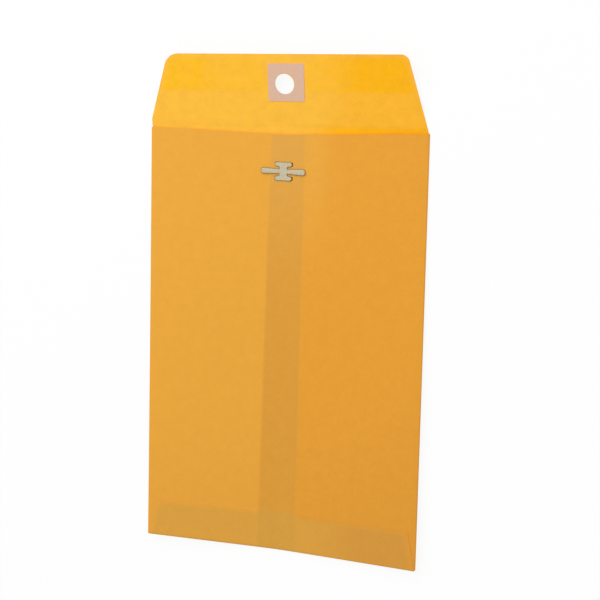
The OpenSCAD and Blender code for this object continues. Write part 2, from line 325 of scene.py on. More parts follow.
def inside(points, loop):
    """Which points lie inside a closed loop."""
    x, y = points[:, 0], points[:, 1]
    hit = np.zeros(len(points), bool)
    for (ax, ay), (bx, by) in zip(loop, np.roll(loop, -1, axis=0)):
        if ay == by:
            continue
        crosses = (ay > y) != (by > y)
        hit ^= crosses & (x < ax + (bx - ax) * (y - ay) / (by - ay))
    return hit


def clear_of(points, others, distance):
    """Which points are at least a distance from every one of the others."""
    batch = 2000
    keep = np.ones(len(points), bool)
    for start in range(0, len(points), batch):
        part = points[start:start + batch]
        gaps = part[:, None, :] - others[None, :, :]
        keep[start:start + batch] = (gaps ** 2).sum(2).min(1) > distance ** 2
    return keep


def grid_points(low, high, spacing):
    """Points on a staggered grid over a box."""
    rows = np.arange(low[1], high[1], spacing * math.sqrt(3) / 2)
    columns = np.arange(low[0], high[0], spacing)
    made = [
        np.column_stack([columns + spacing / 2 * (i % 2), np.full(len(columns), y)])
        for i, y in enumerate(rows)
    ]
    return np.concatenate(made)


def patch_points(low, high, columns, rows):
    """Points on a square grid over a box, its edges among them."""
    x, y = np.meshgrid(np.linspace(low[0], high[0], columns + 1), np.linspace(low[1], high[1], rows + 1))
    return np.column_stack([x.ravel(), y.ravel()])


def cut_flat(outline, holes=(), spacing=2 * MM, patches=()):
    """Triangulates a flat cut and returns its points and triangles. patches holds boxes (low, high, columns,
    rows) that get a square grid of their own, such as the paper that bends in a fold."""
    margin = spacing / 3
    patch_margin = 0.08 * MM
    merge_distance = 1e-7
    loops = [stepped(np.asarray(loop, float), spacing) for loop in (outline, *holes)]
    rim = np.concatenate(loops)
    fill = grid_points(rim.min(0), rim.max(0), spacing)
    fill = fill[clear_of(fill, rim, margin)]
    for low, high, *_ in patches:
        fill = fill[~((fill > np.array(low) - margin) & (fill < np.array(high) + margin)).all(1)]
    for patch in patches:
        points = patch_points(*patch)
        fill = np.concatenate([fill, points[clear_of(points, rim, patch_margin)]])
    fill = fill[inside(fill, loops[0])]
    for loop in loops[1:]:
        fill = fill[~inside(fill, loop)]
    edges = []
    start = 0
    for loop in loops:
        count = len(loop)
        edges += [(start + i, start + (i + 1) % count) for i in range(count)]
        start += count
    points = np.concatenate([rim, fill])
    made = delaunay_2d_cdt([Vector(p) for p in points], edges, [], 1, merge_distance)
    flat = np.array([tuple(v) for v in made[0]], float)
    faces = np.array(made[2], int)
    middles = flat[faces].mean(1)
    for loop in loops[1:]:
        faces = faces[~inside(middles, loop)]
        middles = flat[faces].mean(1)
    a, b, c = flat[faces[:, 0]], flat[faces[:, 1]], flat[faces[:, 2]]
    turned = np.cross(b - a, c - a) < 0
    faces[turned] = faces[turned][:, ::-1]
    return flat, faces


def bent_sheet(name, flat, faces, place, thickness, materials):
    """A closed sheet: each point of the flat cut goes to its place, with half of the thickness on each side.
    materials are for the side that the flat cut shows, for the other side and for the cut edge."""
    used, faces = np.unique(faces, return_inverse=True)
    faces = faces.reshape(-1, 3)
    flat = flat[used]
    middle = place(flat)
    a, b, c = middle[faces[:, 0]], middle[faces[:, 1]], middle[faces[:, 2]]
    normal = np.zeros_like(middle)
    face_normal = np.cross(b - a, c - a)
    for k in range(3):
        np.add.at(normal, faces[:, k], face_normal)
    normal /= np.linalg.norm(normal, axis=1)[:, None]
    count = len(middle)
    edges = np.concatenate([faces[:, [0, 1]], faces[:, [1, 2]], faces[:, [2, 0]]])
    keys = np.sort(edges, axis=1)
    _, first, uses = np.unique(keys, axis=0, return_index=True, return_counts=True)
    rim = edges[first[uses == 1]]
    walls = np.column_stack([rim[:, 1], rim[:, 0], rim[:, 0] + count, rim[:, 1] + count])
    points = np.concatenate([middle + normal * thickness / 2, middle - normal * thickness / 2])
    mesh = bpy.data.meshes.new(name)
    mesh.from_pydata(points, [], [*faces.tolist(), *(faces[:, ::-1] + count).tolist(), *walls.tolist()])
    slots = np.concatenate([np.zeros(len(faces)), np.ones(len(faces)), np.full(len(walls), 2)]).astype(int)
    mesh.polygons.foreach_set("material_index", slots)
    uv = mesh.uv_layers.new(name="flat")
    corners = np.zeros(len(mesh.loops), int)
    mesh.loops.foreach_get("vertex_index", corners)
    uv.data.foreach_set("uv", np.tile(flat, (2, 1))[corners].ravel())
    for material in materials:
        mesh.materials.append(material)
    mesh.shade_smooth()
    mesh.set_sharp_from_angle(angle=SHARP_ANGLE)
    mesh.validate()
    piece = bpy.data.objects.new(name, mesh)
    bpy.context.scene.collection.objects.link(piece)
    return piece


def store_from_edge(piece, name, edge, reach):
    """Stores an attribute that rises from 0 at the edge's points to 1 at a distance from them."""
    uv = np.zeros(2 * len(piece.data.loops))
    piece.data.uv_layers["flat"].data.foreach_get("uv", uv)
    corners = np.zeros(len(piece.data.loops), int)
    piece.data.loops.foreach_get("vertex_index", corners)
    flat = np.zeros((len(piece.data.vertices), 2))
    flat[corners] = uv.reshape(-1, 2)
    gap = np.array([np.linalg.norm(edge - point, axis=1).min() for point in flat])
    attribute = piece.data.attributes.new(name, "FLOAT", "POINT")
    attribute.data.foreach_set("value", smooth(gap / reach))


# Where the paper lies

def left_free_x(y):
    """Sideways place of the left back panel's free edge."""
    return LEFT_FREE_BOTTOM[0] + LEFT_SLANT * (y - LEFT_FREE_BOTTOM[1])


def right_free_x(y):
    """Sideways place of the right back panel's free edge."""
    return RIGHT_FREE_BOTTOM[0] + RIGHT_SLANT * (y - RIGHT_FREE_BOTTOM[1])


def sheet_lift(x, y):
    """How far the whole pocket stands up there: a shallow valley along the seam, which opens from the crease
    down to just past the bottom of the front panel."""
    look = bpy.context.scene.envelope_paper
    round_w = 8 * MM
    lowest = 1.01
    growth = 1.2
    down = np.clip((CREASE_Y - y) / (CREASE_Y - BOTTOM_Y), 0, lowest) ** growth
    slope = (np.sqrt(x ** 2 + round_w ** 2) - round_w) / (math.hypot(HALF_W, round_w) - round_w)
    return np.where(x < 0, look.left_rise, look.right_rise) * down * slope


def back_unevenness(x, y):
    """Small waves of the back panels, which die out at the folds."""
    wave_h = 0.07 * MM
    edge = smooth((HALF_W - abs(x)) / (12 * MM)) * smooth((y - BOTTOM_Y) / (25 * MM))
    wave = np.sin(x / (19 * MM) + 0.7) * np.sin(y / (31 * MM) + 0.4)
    ripple = np.sin(x / (11 * MM) - y / (23 * MM))
    return wave_h * edge * (wave + 0.6 * ripple)


def clasp_place(points):
    """Points of the clasp's own frame, carried to its place on the back."""
    turn = np.array(Matrix.Rotation(CLASP_TURN, 3, "Z"))
    return points @ turn.T + [CLASP_CENTRE.x, CLASP_CENTRE.y, 0]


def claw_places():
    """The side that each claw is on, and the middle of its slot in the clasp's own frame."""
    look = bpy.context.scene.envelope_clasp
    y = (look.base_h - look.bar_h) / 2
    return [(side, side * look.bar_w / 2, up * y) for side in (-1, 1) for up in (-1, 1)]


def claw_dents(x, y):
    """Small dents that the clinched claws pull into the paper."""
    depth = 0.1 * MM
    reach = 1.6 * MM
    low = np.zeros_like(x)
    for _, claw_x, claw_y in claw_places():
        at = clasp_place(np.array([[claw_x, claw_y, 0]]))[0]
        low += np.exp(-((x - at[0]) ** 2 + (y - at[1]) ** 2) / (2 * reach ** 2))
    return -depth * low


def left_panel_z(x, y):
    """Height of the middle of the left back panel."""
    return LEFT_Z + back_unevenness(x, y) + claw_dents(x, y) + sheet_lift(x, y)


def right_panel_z(x, y):
    """Height of the middle of the right back panel, which steps down past the edge under it."""
    step_h = 0.17 * MM
    step_w = 2.5 * MM
    level_w = 60 * MM
    past = x - left_free_x(y)
    step = smooth(past / step_w) * (1 - smooth(past / level_w))
    return RIGHT_Z - step_h * step + back_unevenness(x, y) + claw_dents(x, y) + sheet_lift(x, y)


def bottom_flap_height(x, y):
    """Height of the middle of the bottom flap, which lies on both back panels."""
    step_w = 3 * MM
    gap = 0.03 * MM
    fold_reach = 6 * MM
    over = smooth((x - right_free_x(y) + step_w / 2) / step_w)
    under = (1 - over) * LEFT_Z + over * (right_panel_z(x, y) - sheet_lift(x, y))
    low = under + PAPER + gap
    from_fold = smooth((y - BOTTOM_Y) / fold_reach)
    return (1 - from_fold) * BOTTOM_FLAP_Z + from_fold * low + sheet_lift(x, y)


def crease_curve():
    """Tables of length along the sheet, Y and Z for the paper that bends up at the crease."""
    look = bpy.context.scene.envelope_paper
    start = -look.bend / 3
    past_edge = 5 * MM
    rows = 2400
    along = np.linspace(start, FLAP_L + past_edge, rows)
    angle = FLAP_LIFT * smooth((along - start) / look.bend)
    step = along[1] - along[0]
    y = CREASE_Y + start + np.concatenate([[0], np.cumsum(np.cos(angle))[:-1]]) * step
    z = FRONT_Z + np.concatenate([[0], np.cumsum(np.sin(angle))[:-1]]) * step
    return along, y, z, angle


def flap_surface(x, u, above):
    """Points at a height above the middle of the flap's paper, u from the crease along the flap."""
    wave_h = 0.08 * MM
    along, y, z, angle = crease_curve()
    u = u + FLAP_START - CREASE_Y
    wave = np.sin(x / (27 * MM) + 0.5) * np.sin(u / (13 * MM))
    ripple = np.sin(x / (15 * MM) + u / (17 * MM))
    above = above + wave_h * smooth(u / (12 * MM)) * (wave + 0.5 * ripple)
    turn = np.interp(u, along, angle)
    flap_y = np.interp(u, along, y) - above * np.sin(turn)
    flap_z = np.interp(u, along, z) + above * np.cos(turn)
    return np.column_stack([x, flap_y, flap_z])


def fold_round(beyond, radius):
    """Where paper past the start of a fold lies: how far out, how high, and how far back it has come."""
    angle = np.clip(beyond / radius, 0, math.pi)
    out = radius * np.sin(angle)
    up = radius * (1 - np.cos(angle))
    back = np.maximum(beyond - math.pi * radius, 0)
    return out - back, up, back


def folded_place(x, y, up, back, panel_z):
    """Places of paper that has gone round a fold, and then settles from the fold's curve onto its panel."""
    settle = 3 * MM
    settled = smooth(back / settle)
    curved = FRONT_Z + up + sheet_lift(x, y)
    return np.column_stack([x, y, (1 - settled) * curved + settled * panel_z(x, y)])


def fold_sheet(flat):
    """Folds points of the flat blank into the envelope."""
    flap_from = CREASE_Y - 3 * MM
    slack = 0.001 * MM
    s, t = flat[:, 0], flat[:, 1]
    place = np.column_stack([s, t, FRONT_Z + sheet_lift(s, t)])
    flap = t > flap_from
    place[flap] = flap_surface(s[flap], t[flap] - FLAP_START, np.zeros(flap.sum()))
    beside = (t <= THROAT_Y + slack) & (t >= BOTTOM_Y - slack)
    for side, start, radius, panel_z in (
        (-1, LEFT_X, LEFT_R, left_panel_z), (1, RIGHT_X, RIGHT_R, right_panel_z),
    ):
        on = (side * (s - start) > 0) & beside
        out, up, back = fold_round(side * (s[on] - start), radius)
        place[on] = folded_place(start + side * out, t[on], up, back, panel_z)
    on = t < BOTTOM_Y
    out, up, back = fold_round(BOTTOM_Y - t[on], BOTTOM_R)
    place[on] = folded_place(s[on], BOTTOM_Y - out, up, back, bottom_flap_height)
    return place


def left_to_flat(x):
    """Sideways place on the left back panel, as a place on the flat blank."""
    return LEFT_X - math.pi * LEFT_R - (x - LEFT_X)


def right_to_flat(x):
    """Sideways place on the right back panel, as a place on the flat blank."""
    return RIGHT_X + math.pi * RIGHT_R + (RIGHT_X - x)


def flap_outline():
    """The free sides of the closure flap, from its right base to its left base."""
    look = bpy.context.scene.envelope_paper
    free_x = look.flap_free_w / 2
    shoulder_r = 1 * MM
    points = [
        (RIGHT_SHOULDER[0], 0), RIGHT_SHOULDER[:2], (free_x, FLAP_L),
        (-free_x, FLAP_L), LEFT_SHOULDER[:2], (LEFT_SHOULDER[0], 0),
    ]
    radii = [0, shoulder_r, look.right_corner_r, look.left_corner_r, shoulder_r, 0]
    return rounded(points, radii, 12) + [0, FLAP_START]


def run(start, end, steps=10):
    """Points along the short end of a fold, without the last one."""
    return np.linspace(start, end, steps + 1)[:-1]


def blank_outline():
    """The outline of the flat blank: bottom flap, right side, closure flap, left side."""
    fold_y, end_y = BOTTOM_FOLD_Y, BOTTOM_END_Y
    left_x, right_x = left_to_flat(LEFT_X), right_to_flat(RIGHT_X)
    return np.concatenate([
        run((left_x, BOTTOM_Y), (LEFT_X, BOTTOM_Y)),
        run((LEFT_X, BOTTOM_Y), (LEFT_X, fold_y)),
        [(LEFT_X, fold_y), (-BOTTOM_FLAP_TIP[0], end_y), (BOTTOM_FLAP_TIP[0], end_y)],
        run((RIGHT_X, fold_y), (RIGHT_X, BOTTOM_Y)),
        run((RIGHT_X, BOTTOM_Y), (right_x, BOTTOM_Y)),
        [(right_x, BOTTOM_Y), (right_to_flat(RIGHT_FREE_BOTTOM[0]), BOTTOM_Y),
         (right_to_flat(RIGHT_FREE_TOP[0]), RIGHT_FREE_TOP[1])],
        run((right_x, THROAT_Y), (RIGHT_X, THROAT_Y)),
        [(RIGHT_X, THROAT_Y)],
        flap_outline(),
        run((LEFT_X, THROAT_Y), (left_x, THROAT_Y)),
        [(left_x, THROAT_Y), (left_to_flat(LEFT_FREE_TOP[0]), LEFT_FREE_TOP[1]),
         (left_to_flat(LEFT_FREE_BOTTOM[0]), BOTTOM_Y)],
    ])


def blank_patches(spacing):
    """Boxes of the flat blank with their own points: the folds and the crease, where the paper curves,
    and the paper near the clasp."""
    look = bpy.context.scene.envelope_paper
    rows = math.ceil((THROAT_Y - BOTTOM_Y) / spacing)
    columns = math.ceil((RIGHT_X - LEFT_X) / spacing)
    bend_steps = 10
    near = 12 * MM
    near_steps = 26
    boxes = [
        ((left_to_flat(LEFT_X), BOTTOM_Y), (LEFT_X, THROAT_Y), bend_steps, rows),
        ((RIGHT_X, BOTTOM_Y), (right_to_flat(RIGHT_X), THROAT_Y), bend_steps, rows),
        ((LEFT_X, BOTTOM_FOLD_Y), (RIGHT_X, BOTTOM_Y), columns, bend_steps),
        ((LEFT_X, CREASE_Y - look.bend / 3), (RIGHT_X, CREASE_Y + look.bend * 2 / 3), columns, bend_steps),
    ]
    low_y, high_y = CLASP_CENTRE.y - near, CLASP_CENTRE.y + near
    for to_flat in (left_to_flat, right_to_flat):
        x = to_flat(CLASP_CENTRE.x)
        boxes.append(((x - near, low_y), (x + near, high_y), near_steps, near_steps))
    return boxes


def claw_slots(to_flat, mirror):
    """The slots for the claws in one back panel, on the flat blank. They are torn a little at the right."""
    look = bpy.context.scene.envelope_clasp
    half_h = look.bar_h / 2 - 0.35 * MM
    ends = {-1: (-0.1 * MM, 0.5 * MM), 1: (-0.5 * MM, 0.55 * MM)}
    made = []
    for side, x, y in claw_places():
        low_x, high_x = (x + end for end in ends[side])
        low_y, high_y = y - half_h, y + half_h
        box = np.array([(low_x, low_y, 0), (high_x, low_y, 0), (high_x, high_y, 0), (low_x, high_y, 0)])
        loop = clasp_place(box)[:, :2]
        loop[:, 0] = to_flat(loop[:, 0])
        made.append(loop[::-1] if mirror else loop)
    return made


# Materials

# Size of the clouds in the kraft pulp
KRAFT_CLOUD = 6.5 * MM


def add(tree, kind, inputs=None, **settings):
    """Adds a node with its settings; each input takes a value, or a link from another node's socket."""
    node = tree.nodes.new(kind)
    for name, value in settings.items():
        setattr(node, name, value)
    for key, value in (inputs or {}).items():
        if isinstance(value, bpy.types.NodeSocket):
            tree.links.new(value, node.inputs[key])
        else:
            node.inputs[key].default_value = value
    return node


def new_material(name):
    """An empty material and its tree, with an output."""
    material = bpy.data.materials.new(name)
    material.use_nodes = True
    material.node_tree.nodes.clear()
    return material, material.node_tree, add(material.node_tree, "ShaderNodeOutputMaterial")


def paper_grain(tree, cloud, contrast):
    """The clouds and the fibres of a sheet of pulp, as the place on the flat blank, a brightness, a share of
    pale fibres and a bump. Real fibres are about 0.03 mm wide, so they are drawn as coarse as the render
    can show."""
    flat = add(tree, "ShaderNodeUVMap", uv_map="flat").outputs["UV"]
    clouds = add(tree, "ShaderNodeTexNoise", {
        "Vector": flat, "Scale": 1 / cloud, "Detail": 5.0, "Roughness": 0.72,
    }).outputs["Fac"]
    fibres = []
    for across, along in ((0.4 * MM, 2.2 * MM), (2.4 * MM, 0.45 * MM)):
        stretched = add(tree, "ShaderNodeVectorMath", {
            0: flat, 1: (1 / across, 1 / along, 1),
        }, operation="MULTIPLY")
        fibres.append(add(tree, "ShaderNodeTexNoise", {
            "Vector": stretched.outputs[0], "Scale": 1.0, "Detail": 2.0, "Distortion": 0.8,
        }).outputs["Fac"])
    fibre = add(tree, "ShaderNodeMix", {0: 0.5, 2: fibres[0], 3: fibres[1]}).outputs[0]
    pale = add(tree, "ShaderNodeMapRange", {
        "Value": fibre, "From Min": 0.5, "From Max": 0.72, "To Min": 0.0, "To Max": 2.2 * contrast,
    }).outputs["Result"]
    value = add(tree, "ShaderNodeMapRange", {
        "Value": clouds, "From Min": 0.3, "From Max": 0.7, "To Min": 1 - contrast, "To Max": 1 + contrast,
    }).outputs["Result"]
    bump = add(tree, "ShaderNodeBump", {"Height": fibre, "Strength": 0.25, "Distance": 0.05 * MM})
    return flat, value, pale, bump.outputs["Normal"]


def soft_edge(tree, flat, direction, at, width):
    """A mask that rises from 0 to 1 where the flat place, measured in a direction, passes a line."""
    measured = add(tree, "ShaderNodeVectorMath", {0: flat, 1: direction}, operation="DOT_PRODUCT")
    return add(tree, "ShaderNodeMapRange", {
        "Value": measured.outputs["Value"], "From Min": at - width / 2, "From Max": at + width / 2,
    }, interpolation_type="SMOOTHSTEP").outputs["Result"]


def layered(tree, colour, layers):
    """A colour with tones laid over it, each where all of its masks are 1."""
    for masks, tone in layers:
        mask = masks[0]
        for other in masks[1:]:
            mask = add(tree, "ShaderNodeMath", {0: mask, 1: other}, operation="MULTIPLY").outputs[0]
        colour = add(tree, "ShaderNodeMix", {0: mask, 6: colour, 7: tone}, data_type="RGBA").outputs[2]
    return colour


def finish_paper(tree, output, colour, grain, roughness, gloss=0.5):
    """The shader of a matt sheet: its colour with the pulp's clouds and pale fibres, and a dull gloss."""
    look = bpy.context.scene.envelope_paper
    _, value, pale, bump = grain
    fibred = add(tree, "ShaderNodeMix", {0: pale, 6: colour, 7: look.fibre_colour}, data_type="RGBA")
    toned = add(tree, "ShaderNodeHueSaturation", {"Color": fibred.outputs[2], "Value": value})
    shader = add(tree, "ShaderNodeBsdfPrincipled", {
        "Base Color": toned.outputs["Color"], "Normal": bump, "Roughness": roughness, "IOR": 1.47,
        "Specular IOR Level": gloss,
    })
    tree.links.new(shader.outputs["BSDF"], output.inputs["Surface"])


def kraft_outside():
    """Golden kraft paper, machine glazed outside: even and matt, its tones laid with painted sheen on the left
    half, painted shade on the right half and towards the bottom, and painted shade where layers lie under it and
    let less light through.
    """
    look = bpy.context.scene.envelope_paper
    material, tree, output = new_material("golden_kraft_machine_glazed")
    grain = paper_grain(tree, KRAFT_CLOUD, 0.03)
    # Each mask has a direction on the flat blank, the place of its middle in that direction, and a width
    mask = partial(soft_edge, tree, grain[0])
    under_edge = right_to_flat(left_free_x(0.0))
    free_edge = right_to_flat(right_free_x(0.0))
    # Painted shade: darker towards the bottom, where the light falls off
    left_low = mask((0, -1, 0), 75 * MM, 70 * MM)
    # Painted shade over the right half of the valley; the left half keeps its painted sheen
    right = mask((1, 0, 0), 55 * MM, 60 * MM)
    low = mask((-0.45, -0.9, 0), 15 * MM, 130 * MM)
    # Painted light: the right half's painted shade lifts beside the top of the seam
    beside = mask((1, LEFT_SLANT, 0), under_edge - 12 * MM, 22 * MM)
    high = mask((0, 1, 0), CREASE_Y - 55 * MM, 80 * MM)
    # Painted shade of the doubled seam, which lets less light through, darker further down
    seam = mask((1, LEFT_SLANT, 0), under_edge, 2.2 * MM)
    free = mask((-1, -RIGHT_SLANT, 0), 0.6 * MM - free_edge, 1.8 * MM)
    fade = mask((0, -1, 0), -70 * MM, 110 * MM)
    # The bottom flap: it lies mirrored on the blank, and its glue stops short of its three free edges; its painted
    # shade, where the glued layers let less light through, stops short there too
    on_flap = mask((0, -1, 0), -(BOTTOM_Y + BOTTOM_FOLD_Y) / 2, 3 * MM)
    slant = Vector((BOTTOM_FOLD_Y - BOTTOM_END_Y, BOTTOM_FLAP_TIP[0] - RIGHT_X)).normalized()
    slant_at = -slant.dot(Vector((RIGHT_X, BOTTOM_FOLD_Y)))
    unglued = 4.5 * MM
    free_edges = (
        ((0, 1, 0), BOTTOM_END_Y), ((-slant.x, -slant.y, 0), slant_at), ((slant.x, -slant.y, 0), slant_at),
    )
    margins = [mask(direction, at + unglued / 2, unglued) for direction, at in free_edges]
    flap_right = mask((1, 0, 0), 35 * MM, 40 * MM)
    flap_middle = mask((1, 0, 0), 0, 40 * MM)
    seam_left = mask((1, RIGHT_SLANT, 0), right_free_x(0.0) + 2 * RIGHT_SLANT * BOTTOM_Y, 0.8 * MM)
    seam_right = mask((-1, -LEFT_SLANT, 0), -left_free_x(0.0) - 2 * LEFT_SLANT * BOTTOM_Y, 2 * MM)
    colour = layered(tree, look.left_sheen_colour, (
        ((left_low,), look.left_low_shade_colour),
        ((right,), look.right_shade_colour),
        ((right, low), look.low_shade_colour),
        ((right, beside, high), look.seam_side_light_colour),
        ((seam, free), look.seam_top_shade_colour),
        ((seam, free, fade), look.seam_shade_colour),
        # Painted shade: the middle of the bottom flap takes the darker lower tone
        ((on_flap, flap_middle), look.low_shade_colour),
        ((on_flap, *margins), look.bottom_flap_shade_colour),
        ((on_flap, *margins, flap_right), look.bottom_right_shade_colour),
        ((on_flap, seam_left, seam_right), look.doubled_shade_colour),
    ))
    finish_paper(tree, output, colour, grain, 0.58)
    return material


def inside_tone(tree, flat):
    """The colour of the sheet's inside, deeper towards the right, with painted shade along the crease, deeper in
    colour as light bounced in the fold would make it.
    """
    look = bpy.context.scene.envelope_paper
    right = soft_edge(tree, flat, (1, 0, 0), 30 * MM, 35 * MM)
    # Painted shade along the crease
    crease = soft_edge(tree, flat, (0, -1, 0), -CREASE_Y - 1.5 * MM, 4 * MM)
    crease_right = soft_edge(tree, flat, (1, 0, 0), 22 * MM, 24 * MM)
    return layered(tree, look.inside_colour, (
        ((right,), look.inside_right_colour),
        ((crease,), look.crease_shade_colour),
        ((crease, crease_right), look.crease_right_shade_colour),
    ))


def inside_grain(tree):
    """The grain of the sheet's inside, cloudier than the outside's."""
    return paper_grain(tree, KRAFT_CLOUD, 0.055)


def kraft_inside():
    """The unglazed inside of the golden kraft sheet: cloudier than the outside, and brighter, partly as unglazed
    paper and partly as painted light that a single layer lets through from the floor under it.
    """
    look = bpy.context.scene.envelope_paper
    material, tree, output = new_material("golden_kraft_unglazed")
    grain = inside_grain(tree)
    colour = inside_tone(tree, grain[0])
    finish_paper(tree, output, colour, grain, look.inside_roughness, look.inside_gloss)
    return material


def kraft_edge():
    """The guillotined edge of the kraft sheet, drawn paler as a painted highlight, as if the edge caught the
    light.
    """
    look = bpy.context.scene.envelope_paper
    material, tree, output = new_material("golden_kraft_cut_edge")
    finish_paper(tree, output, look.edge_highlight_colour, paper_grain(tree, 0.8 * MM, 0.06), 0.8)
    return material


def patch_paper():
    """Unbleached gummed patch paper, pinkish and fibrous, with a soft uneven tone."""
    look = bpy.context.scene.envelope_paper
    material, tree, output = new_material("unbleached_patch_paper")
    finish_paper(tree, output, look.patch_colour, paper_grain(tree, 3 * MM, 0.035), 0.7)
    return material


def dried_gum():
    """Dried dextrin gum, rolled on: a clear film that takes the blue out of the paper's colour and makes it
    shine. It is drawn with the colour of the paper under it, and thins out to bare paper at its edges."""
    look = bpy.context.scene.envelope_paper
    material, tree, output = new_material("dried_dextrin_gum_rolled")
    grain = inside_grain(tree)
    cover = add(tree, "ShaderNodeAttribute", attribute_name="cover").outputs["Fac"]
    stretched = add(tree, "ShaderNodeVectorMath", {
        0: grain[0], 1: (1 / (8 * MM), 1 / (22 * MM), 1),
    }, operation="MULTIPLY")
    streaks = add(tree, "ShaderNodeTexNoise", {
        "Vector": stretched.outputs[0], "Scale": 1.0, "Detail": 5.0, "Roughness": 0.62,
    })
    thickness = add(tree, "ShaderNodeMapRange", {
        "Value": streaks.outputs["Fac"], "From Min": 0.3, "From Max": 0.7, "To Min": 0.18, "To Max": 0.48,
    }).outputs["Result"]
    # The roller left more gum at the flap's ends: the direction, where it starts, how softly and how much
    for direction, at, width, more in (
        ((-1, 0, 0), 47 * MM, 12 * MM, 0.32), ((1, 0, 0), 36 * MM, 26 * MM, 0.62),
    ):
        end = soft_edge(tree, grain[0], direction, at, width)
        thickness = add(tree, "ShaderNodeMath", {
            0: end, 1: more, 2: thickness,
        }, operation="MULTIPLY_ADD").outputs[0]
    film = add(tree, "ShaderNodeMath", {
        0: cover, 1: thickness,
    }, operation="MULTIPLY", use_clamp=True).outputs[0]
    colour = add(tree, "ShaderNodeMix", {
        0: film, 6: inside_tone(tree, grain[0]), 7: look.gum_colour,
    }, data_type="RGBA", blend_type="MULTIPLY")
    rough = add(tree, "ShaderNodeMapRange", {"Value": film, "To Min": look.inside_roughness, "To Max": 0.38})
    finish_paper(tree, output, colour.outputs[2], grain, rough.outputs["Result"], look.inside_gloss)
    return material


def dried_glue():
    """Dried paper glue, pressed between two sheets: a dull yellowish film with rolled streaks."""
    look = bpy.context.scene.envelope_paper
    material, tree, output = new_material("dried_paper_glue_pressed")
    finish_paper(tree, output, look.glue_colour, paper_grain(tree, 2.5 * MM, 0.08), 0.45)
    return material


def tin_plate():
    """Rolled and stamped tin plate gone dull: a soft metal sheen, faint rolling lines, cloudy tarnish,
    and a dark line along the rim, which is a painted shadow outline where the stamping sits on the paper."""
    look = bpy.context.scene.envelope_clasp
    material, tree, output = new_material("dull_tin_plate_stamped")
    flat = add(tree, "ShaderNodeUVMap", uv_map="flat").outputs["UV"]
    stretched = add(tree, "ShaderNodeVectorMath", {
        0: flat, 1: (1 / (3 * MM), 1 / (0.12 * MM), 1),
    }, operation="MULTIPLY")
    lines = add(tree, "ShaderNodeTexNoise", {"Vector": stretched.outputs[0], "Scale": 1.0, "Detail": 3.0})
    tarnish = add(tree, "ShaderNodeTexNoise", {
        "Vector": flat, "Scale": 1 / (1.1 * MM), "Detail": 4.0, "Roughness": 0.6,
    })
    value = add(tree, "ShaderNodeMapRange", {
        "Value": tarnish.outputs["Fac"], "From Min": 0.3, "From Max": 0.7, "To Min": 0.82, "To Max": 1.1,
    })
    # Painted shadow along the rim
    from_rim = add(tree, "ShaderNodeAttribute", attribute_name="from_rim").outputs["Fac"]
    rimmed = add(tree, "ShaderNodeMix", {
        0: from_rim, 6: look.rim_shadow_colour, 7: look.colour,
    }, data_type="RGBA")
    colour = add(tree, "ShaderNodeHueSaturation", {
        "Color": rimmed.outputs[2], "Value": value.outputs["Result"],
    })
    rough = add(tree, "ShaderNodeMapRange", {
        "Value": lines.outputs["Fac"], "From Min": 0.3, "From Max": 0.7,
        "To Min": look.roughness - 0.08, "To Max": look.roughness + 0.1,
    })
    bump = add(tree, "ShaderNodeBump", {
        "Height": lines.outputs["Fac"], "Strength": 0.15, "Distance": 0.02 * MM,
    })
    shader = add(tree, "ShaderNodeBsdfPrincipled", {
        "Base Color": colour.outputs["Color"], "Metallic": 1.0,
        "Roughness": rough.outputs["Result"], "Normal": bump.outputs["Normal"],
    })
    tree.links.new(shader.outputs["BSDF"], output.inputs["Surface"])
    return material


def sheared_edge():
    """The sheared edge of the tin plate, where the bare steel shows: darker and rougher than the faces."""
    look = bpy.context.scene.envelope_clasp
    material, tree, output = new_material("tin_plate_sheared_edge")
    flat = add(tree, "ShaderNodeUVMap", uv_map="flat").outputs["UV"]
    wear = add(tree, "ShaderNodeTexNoise", {"Vector": flat, "Scale": 1 / (0.3 * MM), "Detail": 3.0})
    colour = add(tree, "ShaderNodeMix", {
        0: wear.outputs["Fac"], 6: look.sheared_colour, 7: look.rubbed_colour,
    }, data_type="RGBA")
    shader = add(tree, "ShaderNodeBsdfPrincipled", {
        "Base Color": colour.outputs[2], "Metallic": 1.0, "Roughness": 0.6,
    })
    tree.links.new(shader.outputs["BSDF"], output.inputs["Surface"])
    return material


def stamped_tin():
    """The finishes of a stamping: its two faces and its sheared edge."""
    tin = tin_plate()
    return [tin, tin, sheared_edge()]


def seen_rays(tree):
    """1 for the rays that show the background to the camera, straight, in metal or through glass; else 0."""
    path = add(tree, "ShaderNodeLightPath")
    seen = path.outputs["Is Camera Ray"]
    for ray in ("Is Glossy Ray", "Is Transmission Ray"):
        seen = add(tree, "ShaderNodeMath", {0: seen, 1: path.outputs[ray]}, operation="MAXIMUM").outputs[0]
    return seen


def floor_sheet():
    """White studio paper, seen as white by the camera, that keeps a soft shadow of the object."""
    look = bpy.context.scene.envelope_stage
    material, tree, output = new_material("white_studio_paper")
    whitened = add(tree, "ShaderNodeMath", {0: seen_rays(tree), 1: look.white_share}, operation="MULTIPLY")
    paper = add(tree, "ShaderNodeBsdfDiffuse", {"Color": look.floor_colour})
    glow = add(tree, "ShaderNodeEmission", {"Color": (1, 1, 1, 1), "Strength": 1.0})
    mix = add(tree, "ShaderNodeMixShader", {0: whitened.outputs[0], 1: paper.outputs[0], 2: glow.outputs[0]})
    tree.links.new(mix.outputs[0], output.inputs["Surface"])
    return material


# Operators, one for each piece or group of like pieces

